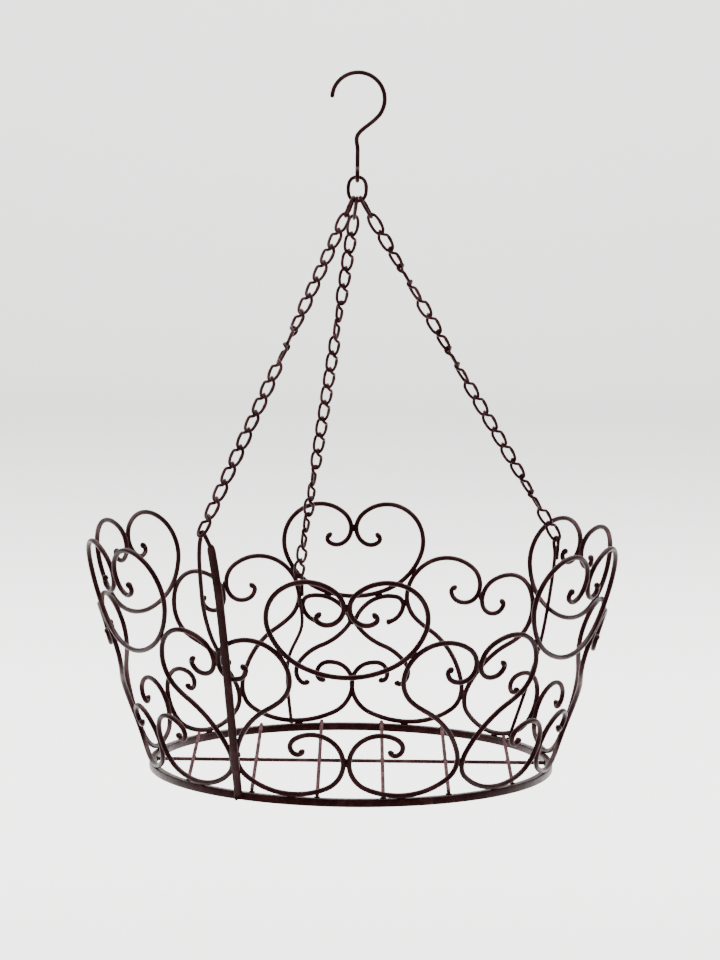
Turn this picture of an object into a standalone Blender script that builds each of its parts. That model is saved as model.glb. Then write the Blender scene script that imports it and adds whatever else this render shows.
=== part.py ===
"""Hanging planter basket of scrolled iron rod on three chains.

Frame: +Z up, the front faces -Y, +X to the right. The origin is the centre of
the base ring's underside. Lengths are in metres and angles in degrees.
The wall is drawn flat, as (along the wall, height), and then wrapped round
the flared outline of the basket.
"""
import math

import bmesh
import bpy
from mathutils import Matrix, Vector

# Stock sizes
ROD = 0.004                 # round rod of the hearts and scrolls
RING_BAR = 0.006            # square bar of the base ring
GRID_ROD = 0.003            # rods across the base
STRAP_WIDTH = 0.0066        # flat bar of the left upright
STRAP_THICKNESS = 0.0025
TAIL_WIDTH = 0.003          # what the flat bar is drawn down to at its loop
POST_WIRE = 0.003           # round wire of the right and back uprights
HANGER_WIRE = 0.0024        # wire of the hanger ring
HOOK_WIRE = 0.0029
CHAIN_WIRE = 0.0018
SEAT = 0.0003               # play left between two pieces that touch
HANG_PLAY = 0.00045         # play where the chains ride on the hanger ring
FUSE = 0.0005               # how far one chain link is sunk into the next

# Outline of the flared wall: the radius at three heights
BASE_HEIGHT = 0.003
BASE_RADIUS = 0.156
BELLY_HEIGHT = 0.115
BELLY_RADIUS = 0.194
RIM_HEIGHT = 0.186
RIM_RADIUS = 0.213

# Bent rods of the wall
HEART_HEIGHT = 0.073
SCROLL_HEIGHT = 0.1215
FILLER_HEIGHT = 0.0715

# Base grid
GRID_PITCH_share = 0.3173   # of the base's radius
GRID_BEARING = 0.0026       # how far the end of a rod lies on the base ring

# Uprights
LEFT_FOOT = 0.0008          # height of the flat bar's lower end
LEFT_LOOP = 0.2062          # heights of the loops' tops
RIGHT_LOOP = 0.167
BACK_LOOP = 0.1237
LEFT_NECK_DROP = 0.0084     # from the loop's top to the end of the bar's full width
LEFT_TAIL_DROP = 0.0860     # from the loop's top to the end of its tail
POST_LOOP_RADIUS = 0.00285
POST_LOOP_DROP = 0.0175     # from the loop's top to the end of its bent leg
POST_LOOP_LEAN = 0.003      # how far the chain has drawn the loop inwards

# Chains, hanger ring and hook
LINK_PITCH = 0.01725        # the nearest pitch that fills a run is used
LINK_WIDTH = 0.0096
HANGER_HEIGHT = 0.455       # centre of the hanger ring
HANGER_HALF_WIDTH = 0.007
HANGER_HALF_HEIGHT = 0.0093
HANG_LEFT = -0.0036         # where each chain rides, along the hanger ring
HANG_BACK = -0.0004
HANG_RIGHT = 0.0038
EYE_RADIUS = 0.0045
SHANK_LENGTH = 0.02665      # straight part between the eye and the crook
CROOK_RADIUS = 0.0205
CROOK_RISE = 0.0275         # from the shank's top to the crook's centre

GRID_RODS = 6
WIRE_SIDES = 6
HANGER_FACETS = 24
RING_FACETS = 72
HANGER_SQUARENESS = 2.8

# Azimuths, from the front towards +X
LEFT_AZIMUTHS = (-31.8, -30.4, -29.3, -28.5, -28.0, -27.8, -28.2)
RIGHT_AZIMUTHS = (123.8, 122.8, 122.3, 123.4, 125.0)
BACK_AZIMUTHS = (198.9, 198.9, 197.7, 193.6, 193.9)
POST_RISE_shares = (0.0, 0.30, 0.52, 0.76, 1.0)

# Arcs of the bent rods, drawn flat. Each arc is (radius as a share of the
# rod's own height, sweep, anticlockwise positive) and starts where the last
# one ends. A start is (across, up) in the same shares.
HEART_START_shares = (0.2599, 0.6763)
HEART_HEADING = 12.5
HEART_ARC_shares = ((0.0479, -149.0), (0.1471, -59.0), (0.1818, -98.6),
                    (0.2449, -27.7), (0.4600, -79.0), (0.3703, -72.6),
                    (0.7031, -40.3), (1.0547, -26.3))
SCROLL_START_shares = (0.6079, 0.8347)
SCROLL_HEADING = -95.4
SCROLL_ARC_shares = ((0.0868, 75.9), (0.1111, 86.5), (0.1214, 78.5),
                     (0.2690, 111.3), (0.1817, 62.8), (0.5653, 9.8),
                     (0.4563, -47.0), (0.1598, -66.5), (0.5147, -60.0),
                     (0.1827, -36.9))
WIDE_CURL_shares = ((0.1901, -152.8), (0.0766, -31.1), (0.0628, -150.9))
SMALL_CURL_shares = ((0.1901, -29.0), (0.1276, -78.0), (0.1975, -14.0),
                     (0.0658, -95.0), (0.0453, -75.0))
FILLER_START_shares = (0.4171, 0.6698)
FILLER_HEADING = 6.0
FILLER_ARC_shares = ((0.2278, 72.7), (0.0909, 90.7), (0.4382, 76.8),
                     (0.0649, 60.5), (0.6810, 34.0), (0.5885, -31.0),
                     (0.1544, -98.5), (0.0490, -101.5))

# Loop and tail of the left upright: (across as a share of the strap's width,
# down from the loop's top as a share of the tail's drop)
LEFT_LOOP_shares = ((-0.14, 0.055), (-0.55, 0.012), (-1.05, 0.0), (-1.48, 0.020),
                    (-1.76, 0.075), (-1.90, 0.20), (-2.00, 0.42), (-2.02, 0.62),
                    (-1.60, 0.84), (-0.86, 1.0))

# Panels, from the front round to the right: the azimuths of their side edges,
# then the height of the scrolls, and the width and height of the heart, as
# shares of the sizes above
PANEL_NAMES = ("front", "front_right", "back_right", "back", "back_left",
               "front_left")
PANEL_AZIMUTHS = (-31.6, 29.4, 88.1, 146.9, 213.1, 270.8, 328.4)
PANEL_shares = ((1.0, 1.0, 1.01), (1.02, 1.0, 1.11), (1.02, 1.0, 1.04),
                (1.09, 0.97, 1.03), (1.02, 1.0, 1.04), (1.02, 1.0, 1.11))


def clear_scene():
    for item in list(bpy.data.objects):
        bpy.data.objects.remove(item, do_unlink=True)


def paint(name, colour, roughness):
    material = bpy.data.materials.new(name)
    material.use_nodes = True
    shader = material.node_tree.nodes["Principled BSDF"]
    shader.inputs["Base Color"].default_value = colour
    shader.inputs["Metallic"].default_value = 0.35
    shader.inputs["Roughness"].default_value = roughness
    material.diffuse_color = colour
    return material


def wall_radius(height):
    """Radius of the wall at a height, on the curve through the three sizes."""
    knots = ((BASE_HEIGHT, BASE_RADIUS), (BELLY_HEIGHT, BELLY_RADIUS),
             (RIM_HEIGHT, RIM_RADIUS))
    total = 0.0
    for i, (height_i, radius_i) in enumerate(knots):
        term = radius_i
        for j, (height_j, _) in enumerate(knots):
            if j != i:
                term *= (height - height_j) / (height_i - height_j)
        total += term
    return total


def wall_slope(height):
    step = RIM_HEIGHT / 1000.0
    return (wall_radius(height + step) - wall_radius(height - step)) / (2.0 * step)


def polar(azimuth, radius, height):
    angle = math.radians(azimuth)
    return Vector((radius * math.sin(angle), -radius * math.cos(angle), height))


def square_to(vector, along):
    return (vector - along * vector.dot(along)).normalized()


def on_wall(azimuth, across, height, out=0.0):
    """Point `across` from an azimuth and `out` from the wall, and its normal."""
    radius = wall_radius(height)
    azimuth += math.degrees(across / radius)
    lean = math.atan(wall_slope(height))
    normal = polar(azimuth, math.cos(lean), -math.sin(lean))
    return polar(azimuth, radius, height) + normal * out, normal


def heading_step(share):
    """Coarse steps round tight curls and fine ones along slow bends."""
    if share < 0.05:
        return 45.0
    return 15.0 if share > 0.25 else 30.0


def draw_arcs(start, heading, arcs, height):
    """Flat points of a bent rod, with a corner at each whole step of heading."""
    x, y = start[0] * height, start[1] * height
    points = [(x, y)]
    for index, (share, sweep_angle) in enumerate(arcs):
        step = heading_step(share)
        turn = math.copysign(1.0, sweep_angle)
        last = index == len(arcs) - 1
        ends_here = last or arcs[index + 1][1] * sweep_angle < 0.0
        left = abs(sweep_angle)
        while left > 1e-6:
            to_corner = (-heading * turn) % step
            to_corner = step if to_corner < 1e-6 else to_corner
            part = min(to_corner, left)
            middle = math.radians(heading + turn * part / 2.0)
            chord = 2.0 * share * height * math.sin(math.radians(part) / 2.0)
            x += chord * math.cos(middle)
            y += chord * math.sin(middle)
            heading += turn * part
            left -= part
            if part == to_corner or (left <= 1e-6 and ends_here):
                points.append((x, y))
    return points


def mirrored(flat):
    return [(-x, y) for x, y in flat]


def lifted(flat, rise):
    return [(x, y + rise) for x, y in flat]


def to_piece(p, a, b):
    """Distance from a point to a straight piece, all flat."""
    dx, dy = b[0] - a[0], b[1] - a[1]
    along = ((p[0] - a[0]) * dx + (p[1] - a[1]) * dy) / (dx * dx + dy * dy)
    along = max(0.0, min(1.0, along))
    return math.hypot(p[0] - a[0] - along * dx, p[1] - a[1] - along * dy)


def nearest(first, second):
    """Least distance between two flat rods, tried at each quarter of a piece."""
    best = RIM_RADIUS
    for one, two in ((first, second), (second, first)):
        for (ax, ay), (bx, by) in zip(one, one[1:]):
            for quarter in range(5):
                t = quarter / 4.0
                p = (ax + (bx - ax) * t, ay + (by - ay) * t)
                best = min(best, min(to_piece(p, c, d) for c, d in zip(two, two[1:])))
    return best


def lower_onto(shape, support, low, high):
    """Lowest rise at which the shape is still clear of the support."""
    for _ in range(40):
        middle = (low + high) / 2.0
        if nearest(lifted(shape, middle), support) > ROD + SEAT:
            high = middle
        else:
            low = middle
    return high


def raise_under(shape, support, low, high):
    """Highest rise at which the shape is still clear of the support."""
    for _ in range(40):
        middle = (low + high) / 2.0
        if nearest(lifted(shape, middle), support) > ROD + SEAT:
            low = middle
        else:
            high = middle
    return low


def narrowed_beside(shape, support):
    """The shape itself where it clears the support, or else a narrower one."""
    inner = (ROD + SEAT) / 2.0
    for percent in range(100, 0, -1):
        flat = [(inner + (x - inner) * percent / 100.0, y) for x, y in shape]
        if nearest(flat, support) > ROD + SEAT:
            return flat
    return flat


def shifted_to_axis(flat, low, high):
    """Move a half sideways until it touches its mirror between two heights."""
    inner = (ROD + SEAT) / 2.0
    shift = inner - min(x for x, y in flat if low <= y <= high)
    return [(x + shift, y) for x, y in flat]


def scroll_shape(curl, first_edge, last_edge, tall):
    """Right-hand scroll of a panel, standing on the base ring."""
    flat = draw_arcs(SCROLL_START_shares, SCROLL_HEADING, SCROLL_ARC_shares + curl,
                     SCROLL_HEIGHT * tall)
    foot = RING_BAR + SEAT + ROD / 2.0
    flat = lifted(flat, foot - min(y for _, y in flat))
    flat = shifted_to_axis(flat, 0.0, SCROLL_HEIGHT / 2.0)
    inner = (ROD + SEAT) / 2.0
    half = math.radians(last_edge - first_edge) / 2.0
    widen = min((half * wall_radius(y) - 2.0 * inner) / (x - inner)
                for x, y in flat if x > half * BASE_RADIUS / 2.0)
    return [(inner + (x - inner) * widen, y) for x, y in flat]


def heart_shape(wide, tall):
    """Heart bent from one rod, from one inner curl round to the other."""
    half = draw_arcs(HEART_START_shares, HEART_HEADING, HEART_ARC_shares,
                     HEART_HEIGHT)
    half = [(x * wide, y * tall) for x, y in half]
    half = shifted_to_axis(half, HEART_HEIGHT / 2.0, HEART_HEIGHT * tall)
    half[-1] = (0.0, half[-1][1])
    return half + mirrored(reversed(half[:-1]))


def filler_shape():
    flat = draw_arcs(FILLER_START_shares, FILLER_HEADING, FILLER_ARC_shares,
                     FILLER_HEIGHT)
    return shifted_to_axis(flat, -FILLER_HEIGHT, FILLER_HEIGHT * 2.0)


def add_object(name, data, material, pivot):
    """Object with its origin on the hinge that it swings about."""
    data.materials.append(material)
    item = bpy.data.objects.new(name, data)
    item.location = pivot
    bpy.context.collection.objects.link(item)
    return item


def bent_wire(name, path, diameter, material, pivot, closed=False):
    """Round wire along a path of points."""
    curve = bpy.data.curves.new(name, "CURVE")
    curve.dimensions = "3D"
    curve.bevel_depth = diameter / 2.0
    curve.bevel_resolution = WIRE_SIDES // 2 - 2
    curve.use_fill_caps = not closed
    spline = curve.splines.new("POLY")
    spline.points.add(len(path) - 1)
    spline.use_cyclic_u = closed
    spline.use_smooth = True
    for knot, point in zip(spline.points, path):
        knot.co = (*(point - pivot), 1.0)
    return add_object(name, curve, material, pivot)


def loft(bm, points, normals, sections, closed=False):
    """Skin round a path. Each section is a list of (out, side) offsets."""
    rings = []
    count = len(points)
    for i, point in enumerate(points):
        before = points[i - 1] if i or closed else point
        after = points[(i + 1) % count] if i < count - 1 or closed else point
        along = (point - before).normalized() + (after - point).normalized()
        out = square_to(normals[i], along.normalized())
        side = along.normalized().cross(out)
        rings.append([bm.verts.new(point + out * o + side * s)
                      for o, s in sections[i]])
    pairs = list(zip(rings, rings[1:]))
    if closed:
        pairs.append((rings[-1], rings[0]))
    else:
        bm.faces.new(rings[0])
        bm.faces.new(rings[-1])
    for one, two in pairs:
        for k in range(len(one)):
            m = (k + 1) % len(one)
            bm.faces.new((one[k], one[m], two[m], two[k]))


def finish_mesh(name, bm, material, pivot):
    bmesh.ops.recalc_face_normals(bm, faces=bm.faces)
    bmesh.ops.translate(bm, verts=bm.verts, vec=-pivot)
    mesh = bpy.data.meshes.new(name)
    bm.to_mesh(mesh)
    bm.free()
    return add_object(name, mesh, material, pivot)


def wrap_rod(name, azimuth, flat, material, pivot):
    """Round rod bent along flat points and wrapped round the wall."""
    path = [on_wall(azimuth, x, y)[0] for x, y in flat]
    bent_wire(name, path, ROD, material, pivot)


def build_panel(index, material, pivot):
    """Two scrolls, the heart on their tops, and at the back a pair of fillers."""
    name = PANEL_NAMES[index]
    first_edge, last_edge = PANEL_AZIMUTHS[index], PANEL_AZIMUTHS[index + 1]
    scroll_tall, heart_wide, heart_tall = PANEL_shares[index]
    azimuth = (first_edge + last_edge) / 2.0
    curl = SMALL_CURL_shares if name == "back" else WIDE_CURL_shares
    scroll = scroll_shape(curl, first_edge, last_edge, scroll_tall)
    heart = heart_shape(heart_wide, heart_tall)
    heart = lifted(heart, lower_onto(heart, scroll, BELLY_HEIGHT / 2.0, RIM_HEIGHT))
    wrap_rod("heart_" + name, azimuth, heart, material, pivot)
    wrap_rod("scroll_" + name + "_r", azimuth, scroll, material, pivot)
    wrap_rod("scroll_" + name + "_l", azimuth, mirrored(scroll), material, pivot)
    if name == "back":
        filler = filler_shape()
        filler = lifted(filler, raise_under(filler, heart, 0.0, BELLY_HEIGHT / 2.0))
        filler = narrowed_beside(filler, scroll)
        wrap_rod("filler_r", azimuth, filler, material, pivot)
        wrap_rod("filler_l", azimuth, mirrored(filler), material, pivot)


def build_base_ring(material, pivot):
    """Square bar spun once round the middle."""
    bm = bmesh.new()
    half = RING_BAR / 2.0
    corners = []
    for dr, dz in ((-half, 0.0), (half, 0.0), (half, RING_BAR), (-half, RING_BAR)):
        corners.append(bm.verts.new(polar(0.0, BASE_RADIUS + dr, dz)))
    edges = [bm.edges.new((corners[k], corners[(k + 1) % 4])) for k in range(4)]
    bmesh.ops.spin(bm, geom=corners + edges, cent=(0.0, 0.0, 0.0), axis=(0.0, 0.0, 1.0),
                   angle=2.0 * math.pi, steps=RING_FACETS, use_merge=True)
    bmesh.ops.remove_doubles(bm, verts=bm.verts, dist=SEAT / 10.0)
    finish_mesh("base_ring", bm, material, pivot)


def build_grid(material, pivot):
    """One rod inside the ring, and six lying across it and the ring's top."""
    inside = BASE_RADIUS - RING_BAR / 2.0
    reach = inside * math.cos(math.pi / RING_FACETS) - SEAT
    low = RING_BAR - GRID_ROD / 2.0
    ends = [Vector((-reach, 0.0, low)), Vector((reach, 0.0, low))]
    bent_wire("cross_rod", ends, GRID_ROD, material, pivot)
    high = RING_BAR + SEAT + GRID_ROD / 2.0
    for k in range(GRID_RODS):
        x = (k - (GRID_RODS - 1) / 2.0) * GRID_PITCH_share * BASE_RADIUS
        outer = abs(x) + GRID_ROD / 2.0
        y = math.sqrt((inside + GRID_BEARING) ** 2 - outer ** 2)
        bent_wire("base_rod_%d" % (k + 1), [Vector((x, -y, high)),
                  Vector((x, y, high))], GRID_ROD, material, pivot)


def strap_out():
    return (ROD + STRAP_THICKNESS) / 2.0 + SEAT


def post_out():
    return -(ROD + POST_WIRE) / 2.0 - SEAT


def strap_loop_half():
    """Farthest the flat bar reaches from its centre at the loop."""
    return math.hypot(TAIL_WIDTH, STRAP_THICKNESS) / 2.0


def hang_point(x):
    """Centre of the hanger ring's lower wire, at x."""
    share = abs(x / HANGER_HALF_WIDTH) ** HANGER_SQUARENESS
    drop = HANGER_HALF_HEIGHT * (1.0 - share) ** (1.0 / HANGER_SQUARENESS)
    return Vector((x, 0.0, HANGER_HEIGHT - drop))


def chain_run(hang_x, loop_at, loop_half):
    """Wire centres of a chain's two end bends."""
    top = hang_point(hang_x)
    along = (loop_at - top).normalized()
    first = top - along * ((HANGER_WIRE + CHAIN_WIRE) / 2.0 + HANG_PLAY)
    last = loop_at + along * (loop_half + SEAT + CHAIN_WIRE / 2.0)
    return first, last


def build_left_upright(material, pivot):
    """Flat bar up the outside of the wall, drawn down and bent into a loop."""
    out = strap_out()
    ring_face = BASE_RADIUS + (RING_BAR + STRAP_THICKNESS) / 2.0 + SEAT
    foot, top = LEFT_AZIMUTHS[0], LEFT_AZIMUTHS[-1]
    points = [polar(foot, ring_face, LEFT_FOOT), polar(foot, ring_face, RING_BAR)]
    normals = [polar(foot, 1.0, 0.0)] * 2
    neck = LEFT_LOOP - LEFT_NECK_DROP
    for k, azimuth in enumerate(LEFT_AZIMUTHS[1:]):
        height = RING_BAR + (neck - RING_BAR) * (k + 1.0) / (len(LEFT_AZIMUTHS) - 1)
        point, normal = on_wall(azimuth, 0.0, height, out)
        points.append(point)
        normals.append(normal)
    half_widths = [STRAP_WIDTH / 2.0] * len(points)
    for across, drop in LEFT_LOOP_shares:
        height = LEFT_LOOP - drop * LEFT_TAIL_DROP
        point, normal = on_wall(top, across * STRAP_WIDTH, height, out)
        points.append(point)
        normals.append(normal)
        half_widths.append(TAIL_WIDTH / 2.0)
    t = STRAP_THICKNESS / 2.0
    bm = bmesh.new()
    loft(bm, points, normals,
         [((-t, w), (t, w), (t, -w), (-t, -w)) for w in half_widths])
    finish_mesh("upright_left", bm, material, pivot)
    loop_across = min(LEFT_LOOP_shares, key=lambda pair: pair[1])[0] * STRAP_WIDTH
    return on_wall(top, loop_across, LEFT_LOOP, out)[0]


def build_wire_upright(name, azimuths, foot, loop, material, pivot):
    """Wire up the inside of the wall, bent over in a narrow loop at its top."""
    radius = POST_LOOP_RADIUS
    neck = loop - POST_LOOP_DROP
    path = [(azimuth, 0.0, foot + (neck - foot) * share)
            for azimuth, share in zip(azimuths, POST_RISE_shares)]
    top = azimuths[-1]
    path.append((top, radius, loop - 1.9 * radius))
    for angle in (0.0, 45.0, 90.0, 135.0, 180.0):
        turn = math.radians(angle)
        path.append((top, radius * math.cos(turn),
                     loop - radius + radius * math.sin(turn)))
    path.append((top, -1.05 * radius, neck))
    placed = []
    for azimuth, across, height in path:
        lean = POST_LOOP_LEAN * max(0.0, (height - neck) / (loop - neck))
        placed.append(on_wall(azimuth, across, height, post_out() - lean)[0])
    bent_wire(name, placed, POST_WIRE, material, pivot)
    return on_wall(top, 0.0, loop, post_out() - POST_LOOP_LEAN)[0]


def link_path(centre, along, normal, half_link):
    """Points of one oval link lying in the plane square to `normal`."""
    across = normal.cross(along).normalized()
    radius = (LINK_WIDTH - CHAIN_WIRE) / 2.0
    straight = half_link - radius
    points = []
    for end in (1.0, -1.0):
        for angle in (0.0, 45.0, 90.0, 135.0, 180.0):
            turn = math.radians(angle)
            points.append(centre + across * (radius * math.cos(turn) * end)
                          + along * ((straight + radius * math.sin(turn)) * end))
    return points


def build_chain(name, hang_x, loop_at, loop_half, material, pivot):
    """Chain drawn taut. Each link is turned a quarter and a little from the last."""
    first, last = chain_run(hang_x, loop_at, loop_half)
    along = (last - first).normalized()
    run = (last - first).length - CHAIN_WIRE + FUSE
    links = max(2, round(run / LINK_PITCH))
    pitch = run / links
    start = square_to(Vector((1.0, 0.0, 0.0)), along)
    end = square_to(Vector((-loop_at.y, loop_at.x, 0.0)), along)
    angle = math.degrees(math.atan2(along.dot(start.cross(end)), start.dot(end)))
    spare = (angle - 90.0 * (links - 1) + 90.0) % 180.0 - 90.0
    half_link = (pitch + CHAIN_WIRE - FUSE) / 2.0
    h = CHAIN_WIRE / 2.0
    section = ((-h, 0.0), (0.0, h), (h, 0.0), (0.0, -h))
    rows = (bmesh.new(), bmesh.new())
    for k in range(links):
        twist = math.radians(90.0 * k + spare * k / (links - 1))
        normal = Matrix.Rotation(twist, 3, along) @ start
        centre = first + along * (half_link + k * pitch)
        path = link_path(centre, along, normal, half_link)
        loft(rows[k % 2], path, [normal] * len(path), [section] * len(path), True)
    odd = finish_mesh(name, rows[0], material, pivot)
    even = finish_mesh(name + "_cutter", rows[1], material, pivot)
    for item in (odd, even):
        item.data.shade_smooth()
    join = odd.modifiers.new("join", "BOOLEAN")
    join.operation = "UNION"
    join.solver = "EXACT"
    join.object = even
    even.hide_render = True
    even.display_type = "WIRE"


def build_hanger_ring(material, pivot):
    path = []
    power = 2.0 / HANGER_SQUARENESS
    for k in range(HANGER_FACETS):
        turn = 2.0 * math.pi * k / HANGER_FACETS
        c, s = math.cos(turn), math.sin(turn)
        x = HANGER_HALF_WIDTH * math.copysign(abs(c) ** power, c)
        z = HANGER_HALF_HEIGHT * math.copysign(abs(s) ** power, s)
        path.append(Vector((x, 0.0, HANGER_HEIGHT + z)))
    bent_wire("hanger_ring", path, HANGER_WIRE, material, pivot, closed=True)


def eye_seat():
    """Height of the hook's wire under the hanger ring's top."""
    return HANGER_HEIGHT + HANGER_HALF_HEIGHT - (HANGER_WIRE + HOOK_WIRE) / 2.0 - SEAT


def build_hook(material):
    """Round wire: an eye, a straight shank and an open crook above it."""
    centre = eye_seat() + EYE_RADIUS
    path = []
    for angle in range(40, -231, -27):
        turn = math.radians(angle)
        path.append(Vector((0.0, EYE_RADIUS * math.cos(turn),
                            centre + EYE_RADIUS * math.sin(turn))))
    neck = centre + EYE_RADIUS
    path.append(Vector((0.0, -HOOK_WIRE * 0.15, neck + HOOK_WIRE * 0.4)))
    path.append(Vector((0.0, 0.0, neck + HOOK_WIRE)))
    shank_top = neck + SHANK_LENGTH
    path.append(Vector((0.0, 0.0, shank_top)))
    crook = shank_top + CROOK_RISE
    for angle in range(-52, 201, 23):
        turn = math.radians(angle)
        path.append(Vector((CROOK_RADIUS * math.cos(turn), 0.0,
                            crook + CROOK_RADIUS * math.sin(turn))))
    bent_wire("hook", path, HOOK_WIRE, material, Vector((0.0, 0.0, shank_top)))


def main():
    clear_scene()
    iron = paint("painted_iron", (0.045, 0.022, 0.022, 1.0), 0.45)
    chain_iron = paint("chain_iron", (0.06, 0.032, 0.030, 1.0), 0.4)
    swing = Vector((0.0, 0.0, HANGER_HEIGHT - HANGER_HALF_HEIGHT))
    build_base_ring(iron, swing)
    build_grid(iron, swing)
    for index in range(len(PANEL_NAMES)):
        build_panel(index, iron, swing)
    left_at = build_left_upright(iron, swing)
    post_half = POST_WIRE / 2.0
    foot = RING_BAR + SEAT + POST_WIRE * 0.2
    right_at = build_wire_upright("upright_right", RIGHT_AZIMUTHS, foot, RIGHT_LOOP,
                                  iron, swing)
    back_at = build_wire_upright("upright_back", BACK_AZIMUTHS, foot, BACK_LOOP, iron,
                                 swing)
    build_chain("chain_left", HANG_LEFT, left_at, strap_loop_half(), chain_iron, swing)
    build_chain("chain_right", HANG_RIGHT, right_at, post_half, chain_iron, swing)
    build_chain("chain_back", HANG_BACK, back_at, post_half, chain_iron, swing)
    build_hanger_ring(chain_iron, Vector((0.0, 0.0, eye_seat())))
    build_hook(chain_iron)


main()
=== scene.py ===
"""Hanging planter basket of scrolled iron rod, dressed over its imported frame.

Metres, +Z up, the basket's front towards -Y. The wall's rods are drawn flat,
as (along the wall, height), and wrapped round the flared outline.
"""
import math
import random

import bmesh
import bpy
from mathutils import Euler, Matrix, Vector, noise


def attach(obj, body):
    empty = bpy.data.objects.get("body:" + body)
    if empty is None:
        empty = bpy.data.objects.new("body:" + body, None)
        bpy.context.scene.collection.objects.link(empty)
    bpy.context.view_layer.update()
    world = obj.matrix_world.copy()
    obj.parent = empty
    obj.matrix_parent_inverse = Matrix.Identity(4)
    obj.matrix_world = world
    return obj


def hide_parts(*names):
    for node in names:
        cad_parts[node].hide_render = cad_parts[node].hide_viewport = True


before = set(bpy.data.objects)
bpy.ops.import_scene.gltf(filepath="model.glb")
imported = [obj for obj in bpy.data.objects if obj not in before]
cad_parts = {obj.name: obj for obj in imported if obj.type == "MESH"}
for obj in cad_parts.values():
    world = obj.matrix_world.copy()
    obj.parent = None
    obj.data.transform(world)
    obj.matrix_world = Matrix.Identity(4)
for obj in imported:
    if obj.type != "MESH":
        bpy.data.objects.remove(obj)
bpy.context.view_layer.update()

MM = 0.001
ROD = 4.0 * MM
RING_BAR = 6.0 * MM
GRID_ROD = 3.0 * MM
STRAP_WIDTH = 6.6 * MM
STRAP_THICKNESS = 2.5 * MM
TAIL_WIDTH = 3.0 * MM
POST_WIRE = 3.0 * MM
HANGER_WIRE = 2.4 * MM
HOOK_WIRE = 2.9 * MM
CHAIN_WIRE = 1.8 * MM
COAT = 0.25 * MM            # the hook and ring are drawn this much thicker on each side, and the links this much; a real coat adds less
CHAIN_COAT = 0.38 * MM      # and the links this much, by eye; a real coat adds less
SEAT = 0.3 * MM             # left between two pieces where one rests on the other
BASE_RADIUS = 156.0 * MM

RIGHT = Vector((1.0, 0.0, 0.0))
BACK = Vector((0.0, 1.0, 0.0))
UP = Vector((0.0, 0.0, 1.0))

# The flare of the wall: (height, radius)
OUTLINE = ((3.0 * MM, BASE_RADIUS), (115.0 * MM, 194.0 * MM), (186.0 * MM, 213.0 * MM))

# Bent rods as arcs: (radius in mm, sweep in degrees, anticlockwise positive)
HEART = dict(start=(18.42, 47.96), heading=24.5, arcs=(
    (3.00, -165.0), (10.74, -55.0), (13.27, -98.6), (17.88, -27.7), (33.58, -79.0),
    (27.03, -72.6), (51.33, -40.3), (76.99, -26.3)))
SCROLL_ARCS = ((2.90, 130.0), (8.00, 60.0), (13.50, 86.5), (14.75, 78.5), (32.68, 111.3),
               (22.08, 62.8), (68.68, 9.8), (55.44, -47.0), (19.42, -66.5),
               (62.54, -60.0), (22.20, -36.9))
SCROLL = dict(start=(79.93, 99.62), heading=-209.5, arcs=SCROLL_ARCS + (
    (23.10, -152.8), (9.31, -31.1), (6.40, -80.0), (5.20, -45.0), (2.90, -110.0)))
BACK_SCROLL = dict(start=(79.93, 99.62), heading=-209.5, arcs=SCROLL_ARCS + (
    (23.10, -29.0), (15.50, -78.0), (24.00, -14.0), (7.99, -95.0), (5.50, -35.0), (2.90, -100.0)))
FILLER = dict(start=(29.82, 47.89), heading=6.0, arcs=(
    (16.29, 72.7), (6.50, 90.7), (31.33, 76.8), (4.64, 60.5), (48.69, 34.0),
    (42.08, -31.0), (11.04, -98.5), (3.50, -101.5)))
FILLER_FIT = (1.0, -1.939, 1.0, 38.367)

# Panels: name, azimuth of each side edge, then how the scrolls and the heart are
# fitted: (stretch across, shift across in mm, stretch up, lift in mm)
PANELS = (
    ("front", -31.6, 29.4, (1.0143, 0.275, 1.0, 8.178), (1.0, 0.0, 1.01, 103.746)),
    ("front_right", 29.4, 88.1, (0.9776, 0.342, 1.02, 8.176),
     (1.0, 0.0, 1.11, 106.258)),
    ("back_right", 88.1, 146.9, (0.9793, 0.339, 1.02, 8.176),
     (1.0, 0.0, 1.04, 107.420)),
    ("back", 146.9, 213.1, (1.1453, -2.347, 1.09, 8.167), (0.97, 0.064, 1.03, 106.735)),
    ("back_left", 213.1, 270.8, (0.9602, 0.375, 1.02, 8.176),
     (1.0, 0.0, 1.04, 108.188)),
    ("front_left", 270.8, 328.4, (0.9584, 0.378, 1.02, 8.176),
     (1.0, 0.0, 1.11, 107.059)))


# Finishes, and the real size of each pattern in them
POOL = 14.0 * MM            # from one pool of enamel to the next
RUB = 2.6 * MM              # rubbed spots
PEEL = 0.9 * MM             # orange peel, drawn at its coarsest so that it shows
PEEL_DEPTH = 0.12 * MM
DENT = 7.0 * MM             # dents of the rough stock
PAPER_GRAIN = 100.0 * MM    # a real sheet's is far finer, and wouldn't show
PAPER_GRAIN_DEPTH = 0.2 * MM
PAPER_HALF_WIDTH = 9.0
MIX_ONE, MIX_TWO, MIX_RESULT = 6, 7, 2      # the Mix node's sockets for colours


def hex_colour(code):
    """An sRGB hex value as linear RGBA."""
    channels = [int(code[k:k + 2], 16) / 255.0 for k in (1, 3, 5)]
    return tuple(c / 12.92 if c <= 0.04045 else ((c + 0.055) / 1.055) ** 2.4
                 for c in channels) + (1.0,)


def add(material, kind, inputs=(), **settings):
    """A node with its settings, and its inputs set or linked."""
    tree = material.node_tree
    made = tree.nodes.new(kind)
    for key, value in settings.items():
        setattr(made, key, value)
    for key, value in dict(inputs).items():
        if isinstance(value, bpy.types.NodeSocket):
            tree.links.new(value, made.inputs[key])
        else:
            made.inputs[key].default_value = value
    return made


def new_finish(name):
    """A material with no nodes yet."""
    material = bpy.data.materials.new(name)
    material.use_nodes = True
    material.node_tree.nodes.clear()
    return material


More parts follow.
